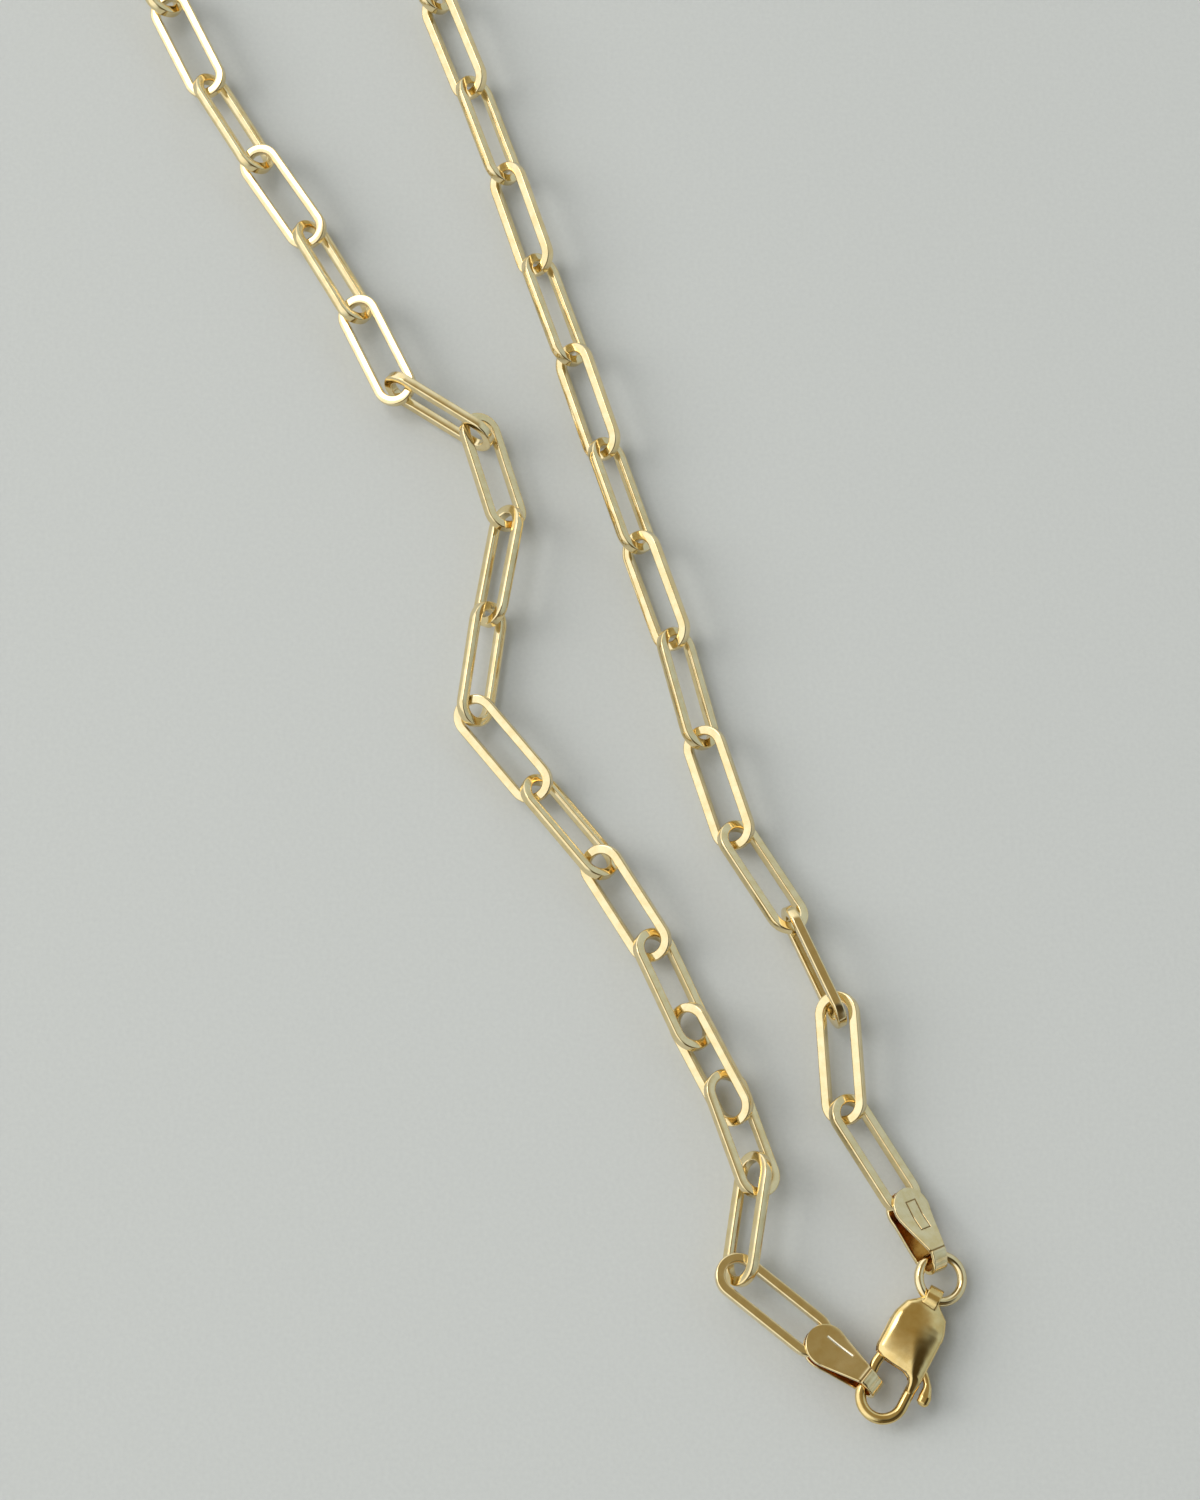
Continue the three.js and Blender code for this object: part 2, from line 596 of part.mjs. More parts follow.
const chain = [...ringStrand.links, ...hidden, ...hookStrand.links.reverse().map(turnedRound)];
chain.forEach((link, i) => {
  const name = `link_${String(i + 1).padStart(2, '0')}`;
  const mesh = namedMesh(name, linkGeometry(), GOLD);
  necklace.add(lay(mesh, link.place, link.heading, link.pitch, link.roll));
});

// Centre the whole piece and set its lowest point on the surface.
necklace.updateMatrixWorld(true);
const box = new THREE.Box3().setFromObject(necklace, true);
const middle = box.getCenter(new THREE.Vector3());
necklace.position.set(-middle.x, -middle.y, -box.min.z);
necklace.updateMatrixWorld(true);

export default necklace;
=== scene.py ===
"""Looks of a gold paperclip chain necklace that lies closed on pale paper.

Lengths in the classes are millimetres in each piece's own frame: y runs along the piece, x is to
its right and z stands off its flat side. Poses carry them to metres in the necklace's frame.
"""

import json
import logging
import math
from dataclasses import dataclass
from enum import Enum
from typing import Any

import bpy
import numpy as np
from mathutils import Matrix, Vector

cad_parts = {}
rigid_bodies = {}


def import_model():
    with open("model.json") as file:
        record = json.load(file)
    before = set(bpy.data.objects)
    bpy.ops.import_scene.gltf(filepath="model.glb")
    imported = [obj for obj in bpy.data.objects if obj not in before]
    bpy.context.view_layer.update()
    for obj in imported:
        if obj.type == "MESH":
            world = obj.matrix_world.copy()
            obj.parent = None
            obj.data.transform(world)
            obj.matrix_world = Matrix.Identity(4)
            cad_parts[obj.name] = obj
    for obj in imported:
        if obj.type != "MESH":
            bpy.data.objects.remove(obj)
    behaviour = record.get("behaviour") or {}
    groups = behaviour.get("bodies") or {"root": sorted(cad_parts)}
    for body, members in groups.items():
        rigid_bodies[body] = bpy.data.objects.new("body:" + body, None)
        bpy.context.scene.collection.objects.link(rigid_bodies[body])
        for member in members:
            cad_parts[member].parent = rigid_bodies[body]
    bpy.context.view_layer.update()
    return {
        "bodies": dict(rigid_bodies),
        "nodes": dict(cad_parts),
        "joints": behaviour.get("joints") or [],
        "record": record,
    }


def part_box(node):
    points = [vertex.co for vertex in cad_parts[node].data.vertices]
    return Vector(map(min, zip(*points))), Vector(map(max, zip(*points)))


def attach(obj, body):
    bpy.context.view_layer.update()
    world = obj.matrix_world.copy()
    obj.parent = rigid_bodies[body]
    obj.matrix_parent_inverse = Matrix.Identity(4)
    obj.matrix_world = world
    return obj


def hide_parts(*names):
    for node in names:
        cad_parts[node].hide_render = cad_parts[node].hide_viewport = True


LOG = logging.getLogger("necklace")
MM = 0.001
UP = np.array([0.0, 0.0, 1.0])
RIGHT = np.array([1.0, 0.0, 0.0])
Rows = tuple[tuple[float, ...], ...]


class Body(Enum):
    """The rigid bodies that pieces ride on."""

    NECKLACE = "necklace"
    TRIGGER = "trigger"


def linear(hex_colour: str) -> tuple[float, float, float, float]:
    """Turn an sRGB hex colour into a linear one.

    Args:
        hex_colour: Six hex digits after a hash sign.

    Returns:
        Linear red, green, blue and an alpha of 1.
    """
    code = np.array([int(hex_colour[i : i + 2], 16) for i in (1, 3, 5)]) / 255
    value = np.where(code <= 0.04045, code / 12.92, ((code + 0.055) / 1.055) ** 2.4)
    return (float(value[0]), float(value[1]), float(value[2]), 1.0)


def add_node(
    tree: bpy.types.NodeTree,
    kind: str,
    settings: dict[str, Any] | None = None,
    inputs: dict[str | int, Any] | None = None,
) -> bpy.types.Node:
    """Add a node, set its properties, and link or set its inputs.

    Args:
        tree: Node tree that gets the node.
        kind: Blender's name of the node type.
        settings: Properties of the node.
        inputs: Socket name or number to a value, or to another socket to link from.

    Returns:
        The new node.
    """
    node = tree.nodes.new(kind)
    for name, value in (settings or {}).items():
        setattr(node, name, value)
    for key, value in (inputs or {}).items():
        if isinstance(value, bpy.types.NodeSocket):
            tree.links.new(value, node.inputs[key])
        else:
            node.inputs[key].default_value = value
    return node


@dataclass(frozen=True)
class Pose:
    """Where a piece lies: its axes as the columns of turn, and its origin in millimetres."""

    turn: np.ndarray
    origin: np.ndarray

    def metres(self, points: np.ndarray) -> np.ndarray:
        """Points of the piece's own frame in millimetres, turned and shifted, in metres."""
        return (points @ self.turn.T + self.origin) * MM


def maths(
    tree: bpy.types.NodeTree, operation: str, first: Any, second: Any = 0.0
) -> bpy.types.NodeSocket:
    """Add a maths node on one or two sockets or numbers.

    Args:
        tree: Node tree that gets the node.
        operation: Name of the sum, such as SUBTRACT.
        first: First socket or number.
        second: Second socket or number, if the operation has one.

    Returns:
        The node's result.
    """
    node = add_node(tree, "ShaderNodeMath", {"operation": operation}, {0: first, 1: second})
    return node.outputs[0]


@dataclass(frozen=True)
class Punch:
    """A plain mark punched in a tab's upper leaf: the outline of an empty rectangle.

    Distances are from the middle of the fold's nose, along the tab and across it. The hue is
    painted into the line: a dark hue is painted shade in the groove, a pale one a painted glint.
    """

    along: float
    across: float
    half_length: float
    half_width: float
    line: float = 0.09
    # Dark by default: painted shade in the line.
    hue: str = "#8A6A34"

    def height(
        self, tree: bpy.types.NodeTree, place: bpy.types.NodeSocket, pose: Pose
    ) -> bpy.types.NodeSocket:
        """Height of the mark as a share, 1 on the plain plate and 0 in the punched line.

        With u and v the distances from the mark's middle along and across, the line lies where
        the larger of |u| less half the length and |v| less half the width is near zero.

        Args:
            tree: Node tree of the plate's material.
            place: Object coordinates in metres.
            pose: The tab's pose.

        Returns:
            The height's socket.
        """
        starts = (pose.origin @ pose.turn + [self.across, self.along, 0.0]) * MM
        parts = []
        for axis in (0, 1, 2):
            unit = tuple(float(part) for part in pose.turn[:, axis])
            dot = add_node(
                tree, "ShaderNodeVectorMath", {"operation": "DOT_PRODUCT"}, {0: place, 1: unit}
            )
            parts.append(maths(tree, "SUBTRACT", dot.outputs["Value"], float(starts[axis])))
        across = maths(tree, "ABSOLUTE", parts[0])
        along = maths(tree, "ABSOLUTE", parts[1])
        past_side = maths(tree, "SUBTRACT", across, self.half_width * MM)
        past_end = maths(tree, "SUBTRACT", along, self.half_length * MM)
        edge = maths(tree, "ABSOLUTE", maths(tree, "MAXIMUM", past_side, past_end))
        below = maths(tree, "LESS_THAN", parts[2], 0.0)
        share = add_node(
            tree,
            "ShaderNodeMapRange",
            {"interpolation_type": "SMOOTHSTEP"},
            {"Value": edge, "From Max": self.line * MM},
        )
        return maths(tree, "MAXIMUM", share.outputs["Result"], below)


@dataclass(frozen=True)
class GoldFinish:
    """14 karat yellow gold, cast or drawn and then polished.

    Polishing leaves it mirror-like, with a faint waviness that bends its reflections and fine
    rubbing marks that soften them. Handling clouds it to a browner tone in places. The rubbing
    marks are drawn coarser than the real ones, so that they show.
    """

    name: str
    colour: str
    cloud_colour: str
    roughness: float
    cloud_roughness: float
    wave_mm: float = 1.6
    wave_height_mm: float = 0.008
    rub_mm: float = 0.12
    rub_height_mm: float = 0.0006
    cloud_mm: float = 0.9
    cloud_from: float = 0.38
    cloud_full: float = 0.66
    punch_depth_mm: float = 0.05

    def material(
        self, punches: tuple[Punch, ...] = (), pose: Pose | None = None
    ) -> bpy.types.Material:
        """Build the node material.

        Args:
            punches: Marks in the face, if it has any.
            pose: Pose of the piece, which its marks need.

        Returns:
            The material, whose patterns read Object coordinates in metres.
        """
        made = bpy.data.materials.new(self.name)
        made.use_nodes = True
        tree = made.node_tree
        tree.nodes.clear()
        place = add_node(tree, "ShaderNodeTexCoord").outputs["Object"]
        cloud = add_node(
            tree,
            "ShaderNodeTexNoise",
            inputs={"Vector": place, "Scale": 1 / (self.cloud_mm * MM), "Detail": 3.0},
        )
        clouds = {"Value": cloud.outputs["Fac"], "From Min": self.cloud_from}
        clouds["From Max"] = self.cloud_full
        share = add_node(tree, "ShaderNodeMapRange", inputs=clouds).outputs["Result"]
        tone = add_node(
            tree,
            "ShaderNodeMix",
            {"data_type": "RGBA"},
            {"Factor": share, 6: linear(self.colour), 7: linear(self.cloud_colour)},
        )
        gloss = add_node(
            tree,
            "ShaderNodeMapRange",
            inputs={"Value": share, "To Min": self.roughness, "To Max": self.cloud_roughness},
        )
        wave = add_node(
            tree,
            "ShaderNodeTexNoise",
            inputs={"Vector": place, "Scale": 1 / (self.wave_mm * MM), "Detail": 1.0},
        )
        rub = add_node(
            tree,
            "ShaderNodeTexNoise",
            inputs={"Vector": place, "Scale": 1 / (self.rub_mm * MM), "Detail": 2.0},
        )
        soft = add_node(
            tree,
            "ShaderNodeBump",
            inputs={"Height": wave.outputs["Fac"], "Distance": self.wave_height_mm * MM},
        )
        fine = add_node(
            tree,
            "ShaderNodeBump",
            inputs={
                "Height": rub.outputs["Fac"],
                "Distance": self.rub_height_mm * MM,
                "Normal": soft.outputs["Normal"],
            },
        )
        normal = fine.outputs["Normal"]
        colour = tone.outputs[2]
        for punch in punches:
            height = punch.height(tree, place, pose)
            # The line's hue is painted shade where dark and a painted glint where pale.
            painted_line = add_node(
                tree,
                "ShaderNodeMix",
                {"data_type": "RGBA"},
                {"Factor": height, 6: linear(punch.hue), 7: colour},
            )
            colour = painted_line.outputs[2]
            mark = add_node(
                tree,
                "ShaderNodeBump",
                inputs={
                    "Height": height,
                    "Distance": self.punch_depth_mm * MM,
                    "Normal": normal,
                },
            )
            normal = mark.outputs["Normal"]
        surface = add_node(
            tree,
            "ShaderNodeBsdfPrincipled",
            inputs={
                "Base Color": colour,
                "Roughness": gloss.outputs["Result"],
                "Metallic": 1.0,
                "Normal": normal,
            },
        )
        add_node(tree, "ShaderNodeOutputMaterial", inputs={"Surface": surface.outputs["BSDF"]})
        return made


@dataclass(frozen=True)
class PaperFinish:
    """Matt card with a fine tooth, which takes soft shadows and scatters a little glare."""

    name: str = "pale_card"
    colour: str = "#CACDCB"
    fleck_colour: str = "#C0C3C2"
    tooth_mm: float = 0.35
    tooth_height_mm: float = 0.02

    def material(self) -> bpy.types.Material:
        """Build the node material of the surface that the necklace lies on.

        Returns:
            The material, whose tooth reads Object coordinates in metres.
        """
        made = bpy.data.materials.new(self.name)
        made.use_nodes = True
        tree = made.node_tree
        tree.nodes.clear()
        place = add_node(tree, "ShaderNodeTexCoord").outputs["Object"]
        tooth = add_node(
            tree,
            "ShaderNodeTexNoise",
            inputs={"Vector": place, "Scale": 1 / (self.tooth_mm * MM), "Detail": 4.0},
        )
        tone = add_node(
            tree,
            "ShaderNodeMix",
            {"data_type": "RGBA"},
            {
                "Factor": tooth.outputs["Fac"],
                6: linear(self.colour),
                7: linear(self.fleck_colour),
            },
        )
        bump = add_node(
            tree,
            "ShaderNodeBump",
            inputs={"Height": tooth.outputs["Fac"], "Distance": self.tooth_height_mm * MM},
        )
        surface = add_node(
            tree,
            "ShaderNodeBsdfPrincipled",
            inputs={
                "Base Color": tone.outputs[2],
                "Roughness": 0.85,
                "Normal": bump.outputs["Normal"],
            },
        )
        add_node(tree, "ShaderNodeOutputMaterial", inputs={"Surface": surface.outputs["BSDF"]})
        return made


def grid_faces(rows: int, columns: int, closed: bool) -> np.ndarray:
    """Quads of a grid whose columns close on themselves, by index arithmetic on whole arrays.

    Args:
        rows: Number of rings.
        columns: Points in each ring.
        closed: Whether the last ring joins the first.

    Returns:
        One row of four vertex numbers for each quad, facing out of a ring that turns
        anticlockwise about the way the rows run.
    """
    row = np.arange(rows if closed else rows - 1)[:, None]
    column = np.arange(columns)[None, :]
    after = (row + 1) % rows
    beside = (column + 1) % columns
    quads = [row * columns + column, row * columns + beside]
    quads += [after * columns + beside, after * columns + column]
    return np.stack(quads, axis=-1).reshape(-1, 4)


@dataclass
class Surface:
    """Points and faces of a closed surface, in millimetres."""

    points: np.ndarray
    faces: list[list[int]]

    @staticmethod
    def tube(rings: np.ndarray, closed: bool) -> "Surface":
        """Skin a stack of rings, and cap both ends unless the stack closes.

        Args:
            rings: Array of rings, points and coordinates.
            closed: Whether the last ring joins the first.

        Returns:
            The closed surface.
        """
        rows, columns, _ = rings.shape
        faces = grid_faces(rows, columns, closed).tolist()
        if not closed:
            faces.append(list(range(columns - 1, -1, -1)))
            faces.append(list(range((rows - 1) * columns, rows * columns)))
        return Surface(rings.reshape(-1, 3), faces)

    def joined(self, other: "Surface") -> "Surface":
        """Put both surfaces in one, the other's faces numbered after this one's.

        Args:
            other: The surface to add.

        Returns:
            The joined surface.
        """
        shift = len(self.points)
        moved = [[i + shift for i in face] for face in other.faces]
        return Surface(np.vstack([self.points, other.points]), self.faces + moved)

    def mesh(self, name: str) -> bpy.types.Mesh:
        """Put the surface, in millimetres, into a new mesh.

        Args:
            name: Name of the mesh.

        Returns:
            The mesh.
        """
        made = bpy.data.meshes.new(name)
        made.from_pydata(self.points.tolist(), [], self.faces)
        made.validate()
        return made


def node_points(frame: dict[str, Any], node: str) -> np.ndarray:
    """Collect the distinct vertices of a solid's node.

    Args:
        node: Name of the node.

    Returns:
        A row of millimetres for each vertex.
    """
    data = frame["nodes"][node].data
    flat = np.empty(len(data.vertices) * 3)
    data.vertices.foreach_get("co", flat)
    return np.unique(np.round(flat.reshape(-1, 3) / MM, 4), axis=0)


def heading_turn(heading: float, pitch: float, roll: float) -> np.ndarray:
    """Turn of a lying piece: roll about its length, then pitch, then a clockwise heading.

    Args:
        heading: Degrees clockwise from +Y.
        pitch: Degrees that the far end is up.
        roll: Degrees that the right side is up.

    Returns:
        A rotation matrix.
    """
    h, p, r = (math.radians(a) for a in (-heading, pitch, -roll))
    about_z = np.array([[math.cos(h), -math.sin(h), 0], [math.sin(h), math.cos(h), 0], [0, 0, 1]])
    about_x = np.array([[1, 0, 0], [0, math.cos(p), -math.sin(p)], [0, math.sin(p), math.cos(p)]])
    about_y = np.array([[math.cos(r), 0, math.sin(r)], [0, 1, 0], [-math.sin(r), 0, math.cos(r)]])
    return about_z @ about_x @ about_y


def pose_by_axes(points: np.ndarray) -> Pose:
    """Find the pose of a piece that is symmetrical about its middle, from its principal axes.

    The longest axis becomes y and the shortest z, found as the singular vectors of the points
    about their mean, and the origin is the middle of their spans along those axes.

    Args:
        points: The node's vertices in millimetres.

    Returns:
        The pose, its z axis up.
    """
    centre = points.mean(axis=0)
    _, _, axes = np.linalg.svd(points - centre)
    normal = axes[2] * (1 if axes[2][2] >= 0 else -1)
    turn = np.stack([np.cross(axes[0], normal), axes[0], normal], axis=1)
    local = points @ turn
    return Pose(turn, turn @ ((local.min(axis=0) + local.max(axis=0)) / 2))


def pose_by_nose(points: np.ndarray, turn: np.ndarray) -> Pose:
    """Find the pose of a piece whose turn is known and whose nose starts its length.

    The nose is what lies within 0.3 mm of the start. The origin has the nose's middle as x, the
    start of the length as y and the middle of the height as z.

    Args:
        points: The node's vertices in millimetres.
        turn: The piece's rotation matrix.

    Returns:
        The pose.
    """
    local = points @ turn
    low, high = local.min(axis=0), local.max(axis=0)
    nose = local[local[:, 1] < low[1] + 0.3]
    across = (nose[:, 0].min() + nose[:, 0].max()) / 2
    return Pose(turn, turn @ np.array([across, low[1], (low[2] + high[2]) / 2]))


def circle(radius: float, count: int) -> np.ndarray:
    """Outline of a circle, anticlockwise: its radius at angles that run once round."""
    turn = np.linspace(0, 2 * math.pi, count, endpoint=False)
    return radius * np.column_stack([np.cos(turn), np.sin(turn)])


def rounded_rectangle(width: float, height: float, radius: float, steps: int) -> np.ndarray:
    """Outline of a rectangle whose corners are quarter circles, anticlockwise.

    Each point is a corner's centre plus the radius at an angle that runs once round.

    Args:
        width: Its whole width, along the first coordinate.
        height: Its whole height, along the second.
        radius: The corners' radius.
        steps: Points in each corner.

    Returns:
        A row of two coordinates for each point.
    """
    turn = np.linspace(0, math.pi / 2, steps)
    quarter = np.arange(4)[:, None]
    angle = quarter * math.pi / 2 + turn[None, :]
    sign_x = np.array([1, -1, -1, 1])[:, None]
    sign_y = np.array([1, 1, -1, -1])[:, None]
    x = sign_x * (width / 2 - radius) + radius * np.cos(angle)
    y = sign_y * (height / 2 - radius) + radius * np.sin(angle)
    return np.stack([x.ravel(), y.ravel()], axis=1)


def sweep(
    path: np.ndarray, profile: np.ndarray, up: np.ndarray, scale: np.ndarray, closed: bool
) -> Surface:
    """Carry a profile along a path that lies in a plane.

    Each ring is the path's point, plus the profile's first coordinate times the side vector
    (tangent crossed with the plane's normal), plus its second times the normal, both scaled.

    Args:
        path: Points of the middle line.
        profile: Points of the section.
        up: The plane's unit normal.
        scale: Section's size at each point, as a share, one column across and one along up.
        closed: Whether the path is a loop.

    Returns:
        The closed surface.
    """
    if closed:
        step = np.roll(path, -1, axis=0) - np.roll(path, 1, axis=0)
    else:
        step = np.gradient(path, axis=0)
    tangent = step / np.linalg.norm(step, axis=1, keepdims=True)
    side = np.cross(up, tangent)
    across = profile[None, :, 0, None] * side[:, None, :] * scale[:, None, None, 0]
    upward = profile[None, :, 1, None] * up[None, None, :] * scale[:, None, None, 1]
    return Surface.tube(path[:, None, :] + across + upward, closed)


def smooth_path(points: np.ndarray, steps: int) -> np.ndarray:
    """Smooth curve through chosen points, by Catmull-Rom blending of each four neighbours.

    Args:
        points: Chosen points, in order.
        steps: Samples in each span.

    Returns:
        The curve's points, the last chosen one included.
    """
    padded = np.vstack([2 * points[0] - points[1], points, 2 * points[-1] - points[-2]])
    t = np.linspace(0, 1, steps, endpoint=False)[None, :, None]
    a, b, c, d = (padded[i : len(padded) - 3 + i, None, :] for i in range(4))
    bend = 2 * b + (c - a) * t + (2 * a - 5 * b + 4 * c - d) * t**2
    curve = 0.5 * (bend + (3 * b - 3 * c + d - a) * t**3)
    return np.vstack([curve.reshape(-1, points.shape[1]), points[-1]])


def between(y: np.ndarray, rows: Rows, reach: float = 0.0) -> np.ndarray:
    """Read a table of places and values, by straight lines between its rows.

    With a reach, a value is the mean over that length on each side, which softens the corners.

    Args:
        y: Where the values are wanted.
        rows: Rows of place and value, the places rising.
        reach: Half the length that each value is averaged over.

    Returns:
        One value for each y.
    """
    places, values = zip(*rows)
    shift = np.linspace(-reach, reach, 15)[:, None]
    return np.interp(y[None, :] + shift, places, values).mean(axis=0)


def evaluated(piece: bpy.types.Object) -> bpy.types.Mesh:
    """The piece's mesh with its modifiers applied, as a mesh of its own."""
    graph = bpy.context.evaluated_depsgraph_get()
    return bpy.data.meshes.new_from_object(piece.evaluated_get(graph), depsgraph=graph)


@dataclass
class Piece:
    """A finished mesh of the necklace and how it is shown."""

    name: str
    body: Body
    material: bpy.types.Material
    pose: Pose

    def show(self, mesh: bpy.types.Mesh, replaces: tuple[str, ...] = ()) -> bpy.types.Object:
        """Move a millimetre mesh to its place, dress it and put it on its body.

        Args:
            mesh: Mesh in the piece's own frame, in millimetres.
            replaces: Nodes of the part that the piece stands for.

        Returns:
            The object.
        """
        flat = np.empty(len(mesh.vertices) * 3)
        mesh.vertices.foreach_get("co", flat)
        placed = self.pose.metres(flat.reshape(-1, 3))
        mesh.vertices.foreach_set("co", placed.astype(np.float32).ravel())
        mesh.polygons.foreach_set("use_smooth", np.ones(len(mesh.polygons), dtype=bool))
        mesh.materials.clear()
        mesh.materials.append(self.material)
        mesh.update()
        piece = bpy.data.objects.new(self.name, mesh)
        bpy.context.scene.collection.objects.link(piece)
        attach(piece, self.body.value)
        if replaces:
            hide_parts(*replaces)
        LOG.info("%s: %d faces", self.name, len(mesh.polygons))
        return piece


@dataclass(frozen=True)
class Casting:
    """Makes joined surfaces one smooth casting, as a lost-wax cast is once it is tumbled."""

    grain: float
    passes: int = 3

    def fuse(self, name: str, surface: Surface, cutter: Surface | None = None) -> bpy.types.Mesh:
        """Fuse overlapping closed surfaces, smooth the skin, and cut a sharp slot if one is given.

        Args:
            name: Name of the mesh.
            surface: Overlapping closed surfaces, in millimetres.
            cutter: Closed surface of what is cut away after smoothing.

        Returns:
            The mesh in millimetres.
        """
        rough = bpy.data.objects.new(name + "_rough", surface.mesh(name))
        bpy.context.scene.collection.objects.link(rough)
        fused = rough.modifiers.new("fuse", "REMESH")
        fused.mode = "VOXEL"
        fused.voxel_size = self.grain
        soft = rough.modifiers.new("soft", "SMOOTH")
        soft.factor = 0.5
        soft.iterations = self.passes
        knife = None
        if cutter is not None:
            knife = bpy.data.objects.new(name + "_knife", cutter.mesh(name + "_knife"))
            bpy.context.scene.collection.objects.link(knife)
            cut = rough.modifiers.new("slot", "BOOLEAN")
            cut.operation = "DIFFERENCE"
            cut.object = knife
            cut.solver = "MANIFOLD"
        bpy.context.view_layer.update()
        made = evaluated(rough)
        bpy.data.objects.remove(rough)
        if knife is not None:
            bpy.data.objects.remove(knife)
        return made


@dataclass
class ChainLink:
    """A long oval link of square wire with softened corners."""

    length: float = 11.06
    width: float = 3.79
    wire: float = 0.8
    corner: float = 0.14
    turn_steps: int = 20
    bar_steps: int = 6
    corner_steps: int = 5

    def surface(self) -> Surface:
        """Sweep the rounded square along a stadium: two straight bars and two half circles.

        Returns:
            The link about its own middle.
        """
        radius = (self.width - self.wire) / 2
        reach = (self.length - self.wire) / 2 - radius
        turn = np.linspace(0, math.pi, self.turn_steps)
        bar = np.linspace(1, -1, self.bar_steps + 2)[1:-1] * reach
        top = np.stack([radius * np.cos(turn), reach + radius * np.sin(turn)], axis=1)
        left = np.stack([np.full(len(bar), -radius), bar], axis=1)
        flat = np.vstack([top, left, -top, -left])
        path = np.column_stack([flat, np.zeros(len(flat))])
        profile = rounded_rectangle(self.wire, self.wire, self.corner, self.corner_steps)
        return sweep(path, profile, UP, np.ones((len(path), 2)), True)


@dataclass
class JumpRing:
    """A round wire ring."""

    diameter: float = 4.5
    wire: float = 0.8
    steps: int = 96
    wire_steps: int = 28

    def surface(self) -> Surface:
        """Torus: a circle of the wire's radius carried round the ring's middle circle.

        Returns:
            The ring about its own middle.
        """
        middle = circle((self.diameter - self.wire) / 2, self.steps)
        path = np.column_stack([middle, np.zeros(self.steps)])
        section = circle(self.wire / 2, self.wire_steps)
        return sweep(path, section, UP, np.ones((self.steps, 2)), True)


